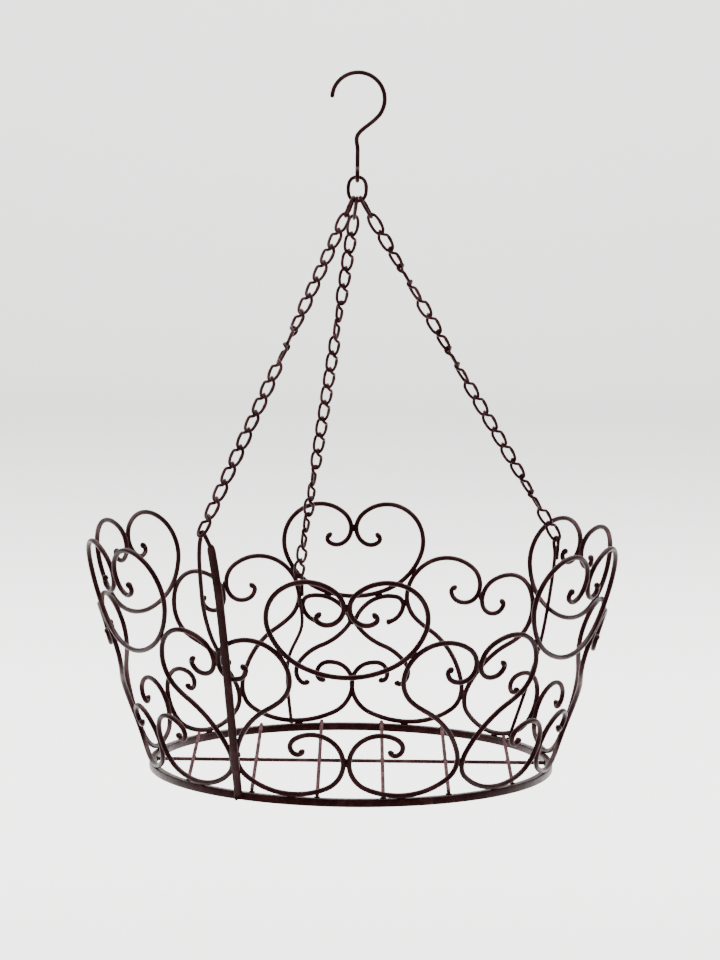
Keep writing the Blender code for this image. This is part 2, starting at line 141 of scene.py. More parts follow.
def brown_enamel(name, darkest, body, rubbed, rough, lumps, reflects=0.25):
    """Antique-brown enamel dipped on iron.

    Thin paint over rough stock: dark where it pooled, warmer where it has been
    rubbed, with a fine orange peel and a weak, reddish reflection. `rough` is how
    matt it is, and `lumps` the depth of the stock's dents.
    """
    finish = new_finish(name)
    where = add(finish, "ShaderNodeTexCoord").outputs["Object"]
    pools = add(finish, "ShaderNodeTexNoise", {
        "Vector": where, "Scale": 1.0 / POOL, "Detail": 4.0, "Roughness": 0.6})
    rubs = add(finish, "ShaderNodeTexNoise", {
        "Vector": where, "Scale": 1.0 / RUB, "Detail": 5.0, "Roughness": 0.65})
    peel = add(finish, "ShaderNodeTexNoise", {
        "Vector": where, "Scale": 1.0 / PEEL, "Detail": 3.0, "Roughness": 0.5})
    dents = add(finish, "ShaderNodeTexNoise", {
        "Vector": where, "Scale": 1.0 / DENT, "Detail": 2.0, "Roughness": 0.5})
    paint = add(finish, "ShaderNodeValToRGB", {"Fac": pools.outputs["Fac"]})
    tones = paint.color_ramp.elements
    tones.new(0.5)
    for tone, place, code in zip(tones, (0.30, 0.52, 0.74), (darkest, body, rubbed)):
        tone.position = place
        tone.color = hex_colour(code)
    worn = add(finish, "ShaderNodeMapRange", {
        "Value": rubs.outputs["Fac"], "From Min": 0.54, "From Max": 0.72,
        "To Min": 0.0, "To Max": 0.55})
    colour = add(finish, "ShaderNodeMix", {
        "Factor": worn.outputs["Result"], MIX_ONE: paint.outputs["Color"],
        MIX_TWO: hex_colour(rubbed)}, data_type="RGBA")
    shine = add(finish, "ShaderNodeMapRange", {
        "Value": rubs.outputs["Fac"], "From Min": 0.3, "From Max": 0.7,
        "To Min": rough - 0.07, "To Max": rough + 0.10})
    dented = add(finish, "ShaderNodeBump", {
        "Height": dents.outputs["Fac"], "Strength": 0.6, "Distance": lumps})
    skin = add(finish, "ShaderNodeBump", {
        "Height": peel.outputs["Fac"], "Strength": 0.35, "Distance": PEEL_DEPTH,
        "Normal": dented.outputs["Normal"]})
    shader = add(finish, "ShaderNodeBsdfPrincipled", {
        "Base Color": colour.outputs[MIX_RESULT], "Roughness": shine.outputs["Result"],
        "Specular IOR Level": reflects, "Specular Tint": hex_colour("#b0605c"),
        "Normal": skin.outputs["Normal"]})
    add(finish, "ShaderNodeOutputMaterial", {"Surface": shader.outputs["BSDF"]})
    return finish


def pale_paper(name, code):
    """Matt seamless paper behind and under the basket, one soft even tone."""
    finish = new_finish(name)
    # With no coordinates linked, the noise's unit is the sheet's whole width
    grain = add(finish, "ShaderNodeTexNoise", {
        "Scale": 2.0 * PAPER_HALF_WIDTH / PAPER_GRAIN, "Detail": 3.0})
    soft = add(finish, "ShaderNodeBump", {
        "Height": grain.outputs["Fac"], "Strength": 0.05,
        "Distance": PAPER_GRAIN_DEPTH})
    shader = add(finish, "ShaderNodeBsdfPrincipled", {
        "Base Color": hex_colour(code), "Roughness": 0.9,
        "Normal": soft.outputs["Normal"]})
    add(finish, "ShaderNodeOutputMaterial", {"Surface": shader.outputs["BSDF"]})
    return finish


# The wall, and points on it
ROD_STEP = 1.4              # mm from one point of a bent rod to the next


def wall_radius(height):
    """Radius of the flare at a height: the curve through OUTLINE's points."""
    total = 0.0
    for i, (height_i, radius_i) in enumerate(OUTLINE):
        term = radius_i
        for j, (height_j, _) in enumerate(OUTLINE):
            if j != i:
                term *= (height - height_j) / (height_i - height_j)
        total += term
    return total


def polar(azimuth, radius, height):
    """A point at an azimuth in degrees, counted from the front to the right."""
    angle = math.radians(azimuth)
    return Vector((radius * math.sin(angle), -radius * math.cos(angle), height))


def on_wall(azimuth, across, height, out=0.0):
    """Point on the wall, its normal, and the wall's level and upward directions."""
    radius = wall_radius(height)
    azimuth += math.degrees(across / radius)
    slope = (wall_radius(height + MM) - wall_radius(height - MM)) / (2.0 * MM)
    lean = math.atan(slope)
    normal = polar(azimuth, math.cos(lean), -math.sin(lean))
    level = polar(azimuth + 90.0, 1.0, 0.0)
    return polar(azimuth, radius, height) + normal * out, normal, level, \
        normal.cross(level)


def draw_rod(shape, fit):
    """Flat points along a rod's arcs, fitted to a panel, close enough to look bent."""
    x, y = shape["start"]
    heading = math.radians(shape["heading"])
    points = [(x, y)]
    for radius, turn in shape["arcs"]:
        sweep = math.radians(turn)
        pieces = max(2, math.ceil(radius * abs(sweep) / ROD_STEP))
        bend = sweep / pieces
        chord = 2.0 * radius * math.sin(abs(bend) / 2.0)
        for _ in range(pieces):
            x += chord * math.cos(heading + bend / 2.0)
            y += chord * math.sin(heading + bend / 2.0)
            heading += bend
            points.append((x, y))
    widen, shift, raised, lift = fit
    return [((x * widen + shift) * MM, (y * raised + lift) * MM) for x, y in points]


def mirrored(flat):
    """The same flat rod on the other side of its panel."""
    return [(-x, y) for x, y in flat]


def smooth_path(knots, pieces):
    """Points on a smooth curve that passes through every knot."""
    knots = [Vector(k) for k in knots]
    ends = [knots[0] * 2.0 - knots[1]] + knots + [knots[-1] * 2.0 - knots[-2]]
    points = []
    for a, b, c, d in zip(ends, ends[1:], ends[2:], ends[3:]):
        for k in range(pieces):
            t = k / pieces
            points.append(0.5 * (2.0 * b + (c - a) * t
                                 + (2.0 * a - 5.0 * b + 4.0 * c - d) * t * t
                                 + (3.0 * b - a - 3.0 * c + d) * t ** 3))
    points.append(knots[-1])
    return points


# Wire and bar
KNOB = 0.34                 # how much thicker a hammered end is, as a share
KNOB_LENGTH = 1.1           # in diameters
END_STEP = 15               # degrees from one point of a rounded end to the next
END_LEAST = 0.004           # keeps a rounded end from closing to a point
TINY = 1e-9
UNEVEN = 0.018              # how much hand bending thickens or thins a rod
UNEVEN_LENGTH = 9.0 * MM
CORNER_STEPS = 3            # facets of a bar's eased edge


def link_up(name, data, finish):
    """An object for a new mesh or curve, in the scene and in its finish."""
    made = bpy.data.objects.new(name, data)
    bpy.context.collection.objects.link(made)
    made.data.materials.append(finish)
    return made


def smooth_mesh(name, bm, finish):
    """A smoothly shaded piece made from a bmesh."""
    mesh = bpy.data.meshes.new(name)
    bm.to_mesh(mesh)
    bm.free()
    mesh.shade_smooth()
    return link_up(name, mesh, finish)


def wire(name, paths, diameter, finish, thick, sides, closed=False):
    """Round wire along paths; `thick` gives a point's share of the diameter."""
    curve = bpy.data.curves.new(name, "CURVE")
    curve.dimensions = "3D"
    curve.bevel_depth = diameter / 2.0
    curve.bevel_resolution = sides // 2 - 2
    curve.use_fill_caps = not closed
    for path in paths:
        spline = curve.splines.new("POLY")
        spline.points.add(len(path) - 1)
        spline.use_cyclic_u = closed
        for k, (knot, place) in enumerate(zip(spline.points, path)):
            knot.co = (*place, 1.0)
            knot.radius = thick(k)
    return link_up(name, curve, finish)


def rounded_ends(path, diameter, knob):
    """Adds close points at both ends, and says how thick the rod is at each."""
    lengths = [0.0]
    for a, b in zip(path, path[1:]):
        lengths.append(lengths[-1] + (b - a).length)
    whole = lengths[-1]
    round_off = diameter * 0.5
    extra = [round_off * (1.0 - math.cos(math.radians(a)))
             for a in range(0, 91, END_STEP)]
    marks = sorted(set([s for s in lengths if round_off < s < whole - round_off]
                       + extra + [whole - s for s in extra]))
    points, shares = [], []
    k = 0
    for mark in marks:
        while k < len(lengths) - 2 and lengths[k + 1] < mark:
            k += 1
        t = (mark - lengths[k]) / max(lengths[k + 1] - lengths[k], TINY)
        points.append(path[k].lerp(path[k + 1], min(max(t, 0.0), 1.0)))
        inset = min(mark, whole - mark)
        share = 1.0 + knob * max(0.0, 1.0 - (inset / (diameter * KNOB_LENGTH)) ** 2)
        if inset < round_off:
            share *= math.sqrt(max(1.0 - (1.0 - inset / round_off) ** 2, END_LEAST))
        shares.append(share)
    return points, shares


def forged_rod(name, path, diameter, finish, knob=0.0, uneven=UNEVEN):
    """Round rod with softened ends and the slight unevenness of hand bending."""
    points, shares = rounded_ends([Vector(p) for p in path], diameter, knob)
    wave = [1.0 + uneven * noise.noise(p / UNEVEN_LENGTH) for p in points]
    return wire(name, [points], diameter, finish, lambda k: shares[k] * wave[k], 14)


def wall_rod(name, azimuth, flat, finish):
    """One of the wall's rods; its ends are hammered into small knobs."""
    return forged_rod(name, [on_wall(azimuth, x, y)[0] for x, y in flat], ROD,
                      finish, knob=KNOB)


def bar_mesh(name, stations, finish, corner, closed=False):
    """Bar through stations of (point, normal, thickness, width).

    Its edges are eased by `corner`, a share of its thickness.
    """
    bm = bmesh.new()
    rings = []
    count = len(stations)
    for i, (point, normal, thickness, width) in enumerate(stations):
        before = stations[i - 1][0] if i or closed else point
        after = stations[(i + 1) % count][0] if i < count - 1 or closed else point
        along = (after - before).normalized()
        out = (normal - along * normal.dot(along)).normalized()
        side = along.cross(out)
        ring = []
        ease = corner * thickness
        for so, ss in ((1, 1), (-1, 1), (-1, -1), (1, -1)):
            middle_o = so * (thickness / 2.0 - ease)
            middle_s = ss * (width / 2.0 - ease)
            first = math.atan2(ss, so) - math.pi / 4.0
            for k in range(CORNER_STEPS + 1):
                turn = first + k * math.pi / (2.0 * CORNER_STEPS)
                ring.append(bm.verts.new(
                    point + out * (middle_o + ease * math.cos(turn))
                    + side * (middle_s + ease * math.sin(turn))))
        rings.append(ring)
    pairs = list(zip(rings, rings[1:]))
    if closed:
        pairs.append((rings[-1], rings[0]))
    else:
        bm.faces.new(rings[0])
        bm.faces.new(rings[-1])
    for one, two in pairs:
        for k in range(len(one)):
            m = (k + 1) % len(one)
            bm.faces.new((one[k], one[m], two[m], two[k]))
    bmesh.ops.recalc_face_normals(bm, faces=bm.faces)
    return smooth_mesh(name, bm, finish)


# Welds
WELD_SHIFT = (3.1, 1.7, 0.9)    # how a seed moves the lumps
LUMP = 0.10                     # as a share of the weld's size
LUMPS = 1.6
RIPPLE = 0.05
RIPPLES = 9.0
TACK = (3.3 * MM, 1.3 * MM, 1.8 * MM)
PANEL_SEEDS = 12                # how far on each panel's seeds start
SEEDS = dict(strap_side=20.0, strap_foot=30.0, post_foot=40.0, hoop=60.0, rod_across=70.0,
             rods_crossing=80.0, rod_on_hoop=90.0)


def weld_bead(bm, centre, along, across, out, size, seed):
    """A small lumpy puddle of weld metal; size is (along, across, out) radii."""
    made = bmesh.ops.create_icosphere(bm, subdivisions=3, radius=1.0)
    shake = Vector([seed * shift for shift in WELD_SHIFT])
    for vert in made["verts"]:
        direction = vert.co.copy()
        ripple = 1.0 + LUMP * noise.noise(direction * LUMPS + shake) \
            + RIPPLE * math.cos(direction.x * RIPPLES)
        vert.co = centre + (along * direction.x * size[0]
                            + across * direction.y * size[1]
                            + out * direction.z * size[2]) * ripple


def touches(one, two, limit):
    """Places where two flat rods come closest: (middle, angle from one to two)."""
    gaps = []
    for x, y in one:
        best = min(two, key=lambda p: (p[0] - x) ** 2 + (p[1] - y) ** 2)
        gaps.append((math.hypot(best[0] - x, best[1] - y), best))
    found = []
    for k in range(1, len(gaps) - 1):
        gap, (bx, by) = gaps[k]
        if gap < limit and gap <= gaps[k - 1][0] and gap < gaps[k + 1][0]:
            x, y = one[k]
            found.append((((x + bx) / 2.0, (y + by) / 2.0),
                          math.atan2(by - y, bx - x)))
    return found


def weld_on_wall(bm, azimuth, place, angle, size, seed, out=0.0):
    """A weld at a flat place of the wall, lying across the line at `angle`."""
    centre, normal, level, up = on_wall(azimuth, place[0], place[1], out)
    across = level * math.cos(angle) + up * math.sin(angle)
    weld_bead(bm, centre, normal.cross(across), across, normal, size, seed)


def finish_welds(name, bm, finish):
    """The welds that a bmesh holds, as one piece of the basket."""
    welds = smooth_mesh(name, bm, finish)
    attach(welds, "basket")


def dress(piece, body, slot, *nodes):
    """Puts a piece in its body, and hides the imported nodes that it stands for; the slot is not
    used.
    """
    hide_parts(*nodes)
    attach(piece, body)


# The basket. Two rods are tacked where their middles come closer than a limit.
SCROLLS_TACKED = 4.9 * MM
EDGES_TACKED = 5.2 * MM
HALVES_TACKED = 4.7 * MM
RESTS_TACKED = 4.8 * MM
FOOT_TACK = (3.4 * MM, 1.0 * MM, 1.7 * MM)
HOOP_FACETS = 240
HOOP_EASE = 0.13
HOOP_WELD = (3.2 * MM, 1.0 * MM, 3.15 * MM)
HOOP_WELD_AZIMUTH = 171.0
HOOP_WELD_OUT = 0.1 * MM
RING_FACETS = 72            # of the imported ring, inside which the rod across fits
ACROSS_TACK = (2.6 * MM, 2.0 * MM, 1.1 * MM)
ACROSS_TACK_OUT = 0.2 * MM
GRID_RODS = 6
GRID_PITCH = 49.5 * MM
GRID_BEARING = 2.6 * MM     # how far the base rods lie on the ring
GRID_STEPS = 20             # points of a base rod, from its middle to an end
GRID_UNEVEN = 0.01
CROSSING_TACK = (1.9 * MM, 1.7 * MM, 0.9 * MM)
BEARING_TACK = (2.5 * MM, 1.5 * MM, 0.75 * MM)
BEARING_TACK_IN = 0.9 * MM
BEARING_TACK_UP = 0.35 * MM


def dress_panel(panel, seed, enamel, weld_enamel):
    """One panel's two scrolls and heart, and the tacks that hold them."""
    name, first_edge, last_edge, scroll_fit, heart_fit = panel
    azimuth = (first_edge + last_edge) / 2.0
    scroll = draw_rod(BACK_SCROLL if name == "back" else SCROLL, scroll_fit)
    half = draw_rod(HEART, heart_fit)
    half[-1] = (0.0, half[-1][1])
    heart = half + mirrored(reversed(half[:-1]))
    dress(wall_rod("heart_rod_" + name, azimuth, heart, enamel), "basket",
          "painted_iron", "heart_" + name)
    for side, flat in (("r", scroll), ("l", mirrored(scroll))):
        dress(wall_rod("scroll_rod_%s_%s" % (name, side), azimuth, flat, enamel),
              "basket", "painted_iron", "scroll_%s_%s" % (name, side))
    # The neighbouring panel's scroll, seen as this one's mirrored in the edge
    width = math.radians(last_edge - first_edge)
    beyond = [(width * wall_radius(y) - x, y) for x, y in scroll]
    spots = touches(scroll, mirrored(scroll), SCROLLS_TACKED)
    spots += touches(scroll, beyond, EDGES_TACKED)
    spots += touches(half, mirrored(half), HALVES_TACKED)
    rests = touches(half, scroll, RESTS_TACKED)
    if name == "back":
        filler = draw_rod(FILLER, FILLER_FIT)
        for side, flat in (("r", filler), ("l", mirrored(filler))):
            dress(wall_rod("filler_rod_" + side, azimuth, flat, enamel), "basket",
                  "painted_iron", "filler_" + side)
        rests += touches(filler, half, RESTS_TACKED)
        rests += touches(filler, scroll, SCROLLS_TACKED)
        spots += touches(filler, mirrored(filler), SCROLLS_TACKED)
    spots += rests
    spots += [((-x, y), math.pi - angle) for (x, y), angle in rests]
    bm = bmesh.new()
    for place, angle in spots:
        seed += 1
        weld_on_wall(bm, azimuth, place, angle, TACK, seed)
    low = min(scroll, key=lambda p: p[1])
    for side in (1.0, -1.0):
        seed += 1
        weld_on_wall(bm, azimuth, (side * low[0], RING_BAR + SEAT), math.pi / 2.0,
                     FOOT_TACK, seed)
    finish_welds("welds_" + name, bm, weld_enamel)


def dress_base(enamel, grid_enamel, weld_enamel):
    """The hoop, the rod across inside it and the rods on top, with their welds."""
    stations = []
    for k in range(HOOP_FACETS):
        azimuth = 360.0 * k / HOOP_FACETS
        stations.append((polar(azimuth, BASE_RADIUS, RING_BAR / 2.0),
                         polar(azimuth, 1.0, 0.0), RING_BAR, RING_BAR))
    ring = bar_mesh("base_hoop", stations, enamel, HOOP_EASE, closed=True)
    dress(ring, "basket", "painted_iron", "base_ring")
    bm = bmesh.new()
    inside = BASE_RADIUS - RING_BAR / 2.0
    reach = inside * math.cos(math.pi / RING_FACETS) - SEAT
    low = RING_BAR - GRID_ROD / 2.0
    steps = range(-GRID_STEPS, GRID_STEPS + 1)
    cross = forged_rod("grid_rod_across", [
        Vector((reach * j / GRID_STEPS, 0.0, low)) for j in steps], GRID_ROD,
        grid_enamel, uneven=GRID_UNEVEN)
    dress(cross, "basket", "painted_iron", "cross_rod")
    for side in (1.0, -1.0):
        weld_bead(bm, Vector((side * (reach + ACROSS_TACK_OUT), 0.0, low)), BACK, UP,
                  RIGHT * side, ACROSS_TACK, SEEDS["rod_across"] + side)
    high = RING_BAR + SEAT + GRID_ROD / 2.0
    for k in range(GRID_RODS):
        x = (k - (GRID_RODS - 1) / 2.0) * GRID_PITCH
        outer = abs(x) + GRID_ROD / 2.0
        y = math.sqrt((inside + GRID_BEARING) ** 2 - outer ** 2)
        rod = forged_rod("grid_rod_%d" % (k + 1), [
            Vector((x, y * j / GRID_STEPS, high)) for j in steps], GRID_ROD,
            grid_enamel, uneven=GRID_UNEVEN)
        dress(rod, "basket", "painted_iron", "base_rod_%d" % (k + 1))
        weld_bead(bm, Vector((x, 0.0, (low + high) / 2.0)), RIGHT, BACK, UP,
                  CROSSING_TACK, SEEDS["rods_crossing"] + k)
        for side in (1.0, -1.0):
            at = Vector((x, side * (y - BEARING_TACK_IN), RING_BAR + BEARING_TACK_UP))
            weld_bead(bm, at, RIGHT, BACK, UP, BEARING_TACK,
                      SEEDS["rod_on_hoop"] + k + side)
    # The hoop's own butt weld, ground nearly flush, at the back
    place = polar(HOOP_WELD_AZIMUTH, BASE_RADIUS + HOOP_WELD_OUT, RING_BAR / 2.0)
    weld_bead(bm, place, UP, polar(HOOP_WELD_AZIMUTH - 90.0, 1.0, 0.0),
              polar(HOOP_WELD_AZIMUTH, 1.0, 0.0), HOOP_WELD, SEEDS["hoop"])
    finish_welds("welds_base", bm, weld_enamel)


# Uprights: one flat bar at the front left, and two posts of wire
LEFT_AZIMUTHS = (-31.8, -30.4, -29.3, -28.5, -28.0, -27.8, -28.2)
LEFT_LOOP = 206.2 * MM
LEFT_NECK_DROP = 8.4 * MM
LEFT_TAIL_DROP = 86.0 * MM
# Across in strap widths, and down from the loop in tail drops; it peaks like a tent
LEFT_LOOP_SHAPE = ((-0.14, 0.050), (-0.46, -0.010), (-0.78, -0.062), (-1.00, -0.066),
                   (-1.26, -0.010), (-1.55, 0.080), (-1.78, 0.21), (-1.94, 0.42),
                   (-2.00, 0.62), (-1.60, 0.84), (-0.86, 1.0))
STRAP_FOOT = 0.8 * MM       # above the ground
STRAP_OUT = (ROD + STRAP_THICKNESS) / 2.0 + SEAT
STRAP_STEPS = 9
STRAP_EASE = 0.28
STRAP_DENT = 0.03
STRAP_DENT_LENGTH = 8.0 * MM
STRAP_TACKS = ((-30.3, 38.0 * MM), (-28.4, 112.0 * MM))     # (azimuth, height)
STRAP_TACK = (2.4 * MM, 1.3 * MM, 1.0 * MM)
STRAP_TACK_ASIDE = 0.42     # in strap widths
STRAP_TACK_OUT = 1.9 * MM
STRAP_FOOT_TACK = (2.6 * MM, 0.9 * MM, 1.0 * MM)
STRAP_FOOT_TACK_ASIDE = 0.46
POST_LOOP_RADIUS = 2.85 * MM
POST_LOOP_DROP = 17.5 * MM
POST_LOOP_LEAN = 3.0 * MM
POST_LOOP_ANGLES = range(0, 181, 30)    # degrees
POSTS = {
    "right": dict(azimuths=(123.8, 122.8, 122.3, 123.4, 125.0), foot=6.9 * MM,
                  loop=167.0 * MM),
    "back": dict(azimuths=(198.9, 198.9, 197.7, 193.6, 193.9), foot=6.9 * MM,
                 loop=123.7 * MM)}
RISES = (0.0, 0.30, 0.52, 0.76, 1.0)
POST_OUT = -(ROD + POST_WIRE) / 2.0 - SEAT
POST_SHOULDER = 1.9         # below the loop's top, in its radii
POST_TIP = 1.05             # how far across the wire's tip ends, in the loop's radii
POST_STEPS = 6
POST_UNEVEN = 0.012
POST_TACK = (2.2 * MM, 2.0 * MM, 0.8 * MM)
POST_TACK_DOWN = 0.6 * MM


def left_loop_point(across, drop):
    """A point of LEFT_LOOP_SHAPE, and the wall's normal there."""
    return on_wall(LEFT_AZIMUTHS[-1], across * STRAP_WIDTH,
                   LEFT_LOOP - drop * LEFT_TAIL_DROP, STRAP_OUT)[:2]


def dress_strap(enamel, weld_enamel):
    """Flat bar up the outside, drawn down to a wire-like loop and curved tail."""
    face = BASE_RADIUS + (RING_BAR + STRAP_THICKNESS) / 2.0 + SEAT
    foot = LEFT_AZIMUTHS[0]
    knots = [(polar(foot, face, height), polar(foot, 1.0, 0.0), STRAP_WIDTH)
             for height in (STRAP_FOOT, RING_BAR)]
    neck = LEFT_LOOP - LEFT_NECK_DROP
    for k, azimuth in enumerate(LEFT_AZIMUTHS[1:]):
        height = RING_BAR + (neck - RING_BAR) * (k + 1.0) / (len(LEFT_AZIMUTHS) - 1)
        point, normal = on_wall(azimuth, 0.0, height, STRAP_OUT)[:2]
        knots.append((point, normal, STRAP_WIDTH))
    for across, drop in LEFT_LOOP_SHAPE:
        point, normal = left_loop_point(across, drop)
        knots.append((point, normal, TAIL_WIDTH))
    places = smooth_path([p for p, _, _ in knots], STRAP_STEPS)
    stations = []
    for i, place in enumerate(places):
        k, t = divmod(i / STRAP_STEPS, 1.0)
        one, two = knots[int(k)], knots[min(int(k) + 1, len(knots) - 1)]
        dent = 1.0 + STRAP_DENT * noise.noise(place / STRAP_DENT_LENGTH)
        stations.append((place, one[1].lerp(two[1], t).normalized(),
                         STRAP_THICKNESS * dent,
                         (one[2] + (two[2] - one[2]) * t) * dent))
    strap = bar_mesh("strap_left", stations, enamel, STRAP_EASE)
    dress(strap, "basket", "painted_iron", "upright_left")
    bm = bmesh.new()
    for k, (azimuth, height) in enumerate(STRAP_TACKS):
        for side in (-1.0, 1.0):
            weld_on_wall(bm, azimuth, (side * STRAP_WIDTH * STRAP_TACK_ASIDE, height),
                         0.0, STRAP_TACK, SEEDS["strap_side"] + k + side,
                         STRAP_TACK_OUT)
    for side in (-1.0, 1.0):
        azimuth = foot + side * math.degrees(STRAP_WIDTH * STRAP_FOOT_TACK_ASIDE / face)
        weld_bead(bm, polar(azimuth, face - STRAP_THICKNESS * 0.5, RING_BAR * 0.5), UP,
                  polar(azimuth + 90.0, 1.0, 0.0), polar(azimuth, 1.0, 0.0),
                  STRAP_FOOT_TACK, SEEDS["strap_foot"] + side)
    finish_welds("welds_strap_left", bm, weld_enamel)


def dress_post(side, enamel, weld_enamel):
    """Wire up the inside of the wall, bent over in a narrow loop for the chain."""
    post = POSTS[side]
    loop, radius = post["loop"], POST_LOOP_RADIUS
    neck = loop - POST_LOOP_DROP
    path = [(azimuth, 0.0, post["foot"] + (neck - post["foot"]) * share)
            for azimuth, share in zip(post["azimuths"], RISES)]
    top = post["azimuths"][-1]
    path.append((top, radius, loop - POST_SHOULDER * radius))
    for angle in POST_LOOP_ANGLES:
        turn = math.radians(angle)
        path.append((top, radius * math.cos(turn),
                     loop - radius + radius * math.sin(turn)))
    path.append((top, -POST_TIP * radius, neck))
    placed = []
    for azimuth, across, height in path:
        lean = POST_LOOP_LEAN * max(0.0, (height - neck) / (loop - neck))
        placed.append(on_wall(azimuth, across, height, POST_OUT - lean)[0])
    post_wire = forged_rod("post_" + side, smooth_path(placed, POST_STEPS), POST_WIRE,
                           enamel, uneven=POST_UNEVEN)
    dress(post_wire, "basket", "painted_iron", "upright_" + side)
    bm = bmesh.new()
    weld_bead(bm, placed[0] - UP * POST_TACK_DOWN, RIGHT, BACK, UP, POST_TACK,
              SEEDS["post_foot"])
    finish_welds("welds_post_" + side, bm, weld_enamel)


# Chains, hanger ring and hook
LINK_PITCH = 16.1 * MM
LINK_WIDTH = 10.3 * MM
LINK_SINK = 0.2 * MM        # how deep each link is drawn into the next
LINK_TWIST = 88.0           # degrees; the upper end of a link, turned from the rest
TWIST_FROM = 0.30           # where it starts, as a share of half the link's length
LINK_ROUNDNESS = 2.3        # 2 is an ellipse, more is squarer
LINK_DRAWN = CHAIN_WIRE + 2.0 * CHAIN_COAT
LINK_STEPS = 44
LINK_SWELL = 0.15           # at the butt weld, as a share of the wire
LINK_SWELL_STEPS = 1.3
FLAT = 90.0                 # degrees; a link turned so lies flat to the front
EDGE_ON = 75.0              # degrees more, for a link that is seen edge on
EDGE_ON_LINKS = 1.25        # how many links to each side turn with it
LOOSE = 9.0                 # degrees each way, at random
# The last links follow the loop below them, but only by a part of its turn
LAST_LEAST = 60.0
LAST_FROM = 28.0
LAST_PART = 3.0
LAST_LINKS = 1.6
# Each chain: where it hangs on the ring, and its edge-on links, counted from there
CHAINS = {"left": (-3.6 * MM, (8.3,)), "right": (3.8 * MM, (4.2, 9.2, 17.8)),
          "back": (-0.4 * MM, (6.6, 16.3, 19.6))}
HANGER_HEIGHT = 455.0 * MM
HANGER_HALF_WIDTH = 7.0 * MM
HANGER_HALF_HEIGHT = 9.3 * MM
HANGER_SQUARENESS = 2.8     # where the chains hang, as in the solids
HANG_PLAY = 0.1 * MM
RING_ROUNDNESS = 2.4        # as drawn
RING_STEPS = 96
RING_SWELL = 0.13           # at the butt weld, as a share of the wire
RING_SWELL_AT = 3           # in steps
RING_SWELL_STEPS = 2.2
EYE_RADIUS = 4.5 * MM
EYE_ANGLES = range(40, -231, -27)       # degrees
NECK_FORWARD = 0.15         # both in wire diameters
NECK_RISE = 0.4
SHANK_TOP = 497.0 * MM
CROOK_RADIUS = 20.5 * MM
CROOK_RISE = 27.5 * MM      # its middle, above the shank's top
CROOK_ANGLES = range(-52, 201, 23)
HOOK_STEPS = 8
HOOK_UNEVEN = 0.01


def hang_point(x):
    """Middle of the hanger ring's wire where a chain hangs on its lower side."""
    share = abs(x / HANGER_HALF_WIDTH) ** HANGER_SQUARENESS
    drop = HANGER_HALF_HEIGHT * (1.0 - share) ** (1.0 / HANGER_SQUARENESS)
    return Vector((x, 0.0, HANGER_HEIGHT - drop))


def square_to(vector, along):
    """The part of a direction that is square to another, one long."""
    return (vector - along * vector.dot(along)).normalized()


def swelling(steps, spread):
    """How near a point is to the middle of a weld's swelling: 1 there, 0 far off."""
    return math.exp(-(steps / spread) ** 2)


def rounded(turn, roundness):
    """Across and up on an oval between an ellipse and a box, each from -1 to 1."""
    c, s = math.cos(turn), math.sin(turn)
    power = 2.0 / roundness
    return math.copysign(abs(c) ** power, c), math.copysign(abs(s) ** power, s)


def link_points(centre, along, face, half_length, twist):
    """Oval link, its upper end twisted so that it can lie flat like the one above."""
    across = face.cross(along).normalized()
    half_width = (LINK_WIDTH - LINK_DRAWN) / 2.0
    points = []
    for k in range(LINK_STEPS):
        out, rise = rounded(2.0 * math.pi * k / LINK_STEPS, LINK_ROUNDNESS)
        share = max(0.0, (-rise - TWIST_FROM) / (1.0 - TWIST_FROM))
        turned = twist * share * share * (3.0 - 2.0 * share)
        twisted = Matrix.Rotation(math.radians(turned), 3, along)
        points.append(centre + (twisted @ across) * (half_width * out)
                      + along * (rise * half_length))
    return points


def link_thickness(k):
    """A slight swelling where each link was butt-welded shut, half way down a side."""
    return 1.0 + LINK_SWELL * swelling(min(k, LINK_STEPS - k), LINK_SWELL_STEPS)


def dress_chain(side, loop_at, loop_half, enamel):
    """Chain of twisted links, flat to the front but for a few turned edge on."""
    hang_x, edge_on = CHAINS[side]
    top = hang_point(hang_x)
    along = (loop_at - top).normalized()
    first = top - along * (HANGER_WIRE / 2.0 + COAT + LINK_DRAWN + HANG_PLAY)
    last = loop_at + along * (loop_half + SEAT + LINK_DRAWN)
    lap = 2.0 * LINK_DRAWN - LINK_SINK
    links = round(((last - first).length - lap) / LINK_PITCH)
    pitch = ((last - first).length - lap) / links
    start = square_to(RIGHT, along)
    end = square_to(Vector((-loop_at.y, loop_at.x, 0.0)), along)
    to_end = math.degrees(math.atan2(along.dot(start.cross(end)), start.dot(end)))
    last_turn = LAST_LEAST + (to_end - LAST_FROM) % 180.0 / LAST_PART
    half_length = (pitch + lap - LINK_DRAWN) / 2.0
    rng = random.Random(links)
    paths = []
    for k in range(links):
        near_loop = swelling(links - 1 - k, LAST_LINKS)
        turn = FLAT + near_loop * (last_turn - FLAT)
        turn += sum(EDGE_ON * swelling(k - place, EDGE_ON_LINKS) for place in edge_on)
        turn += rng.uniform(-LOOSE, LOOSE) if 1 < k < links - 1 else 0.0
        # The first link is edge on to pass round the ring; the first two aren't twisted
        face = Matrix.Rotation(math.radians(turn if k else 0.0), 3, along) @ start
        centre = first + along * ((pitch + lap) / 2.0 + k * pitch)
        paths.append(link_points(centre, along, face, half_length,
                                 LINK_TWIST if k > 1 else 0.0))
    chain = wire("links_" + side, paths, LINK_DRAWN, enamel, link_thickness, 12,
                 closed=True)
    dress(chain, "basket", "chain_iron", "chain_" + side)


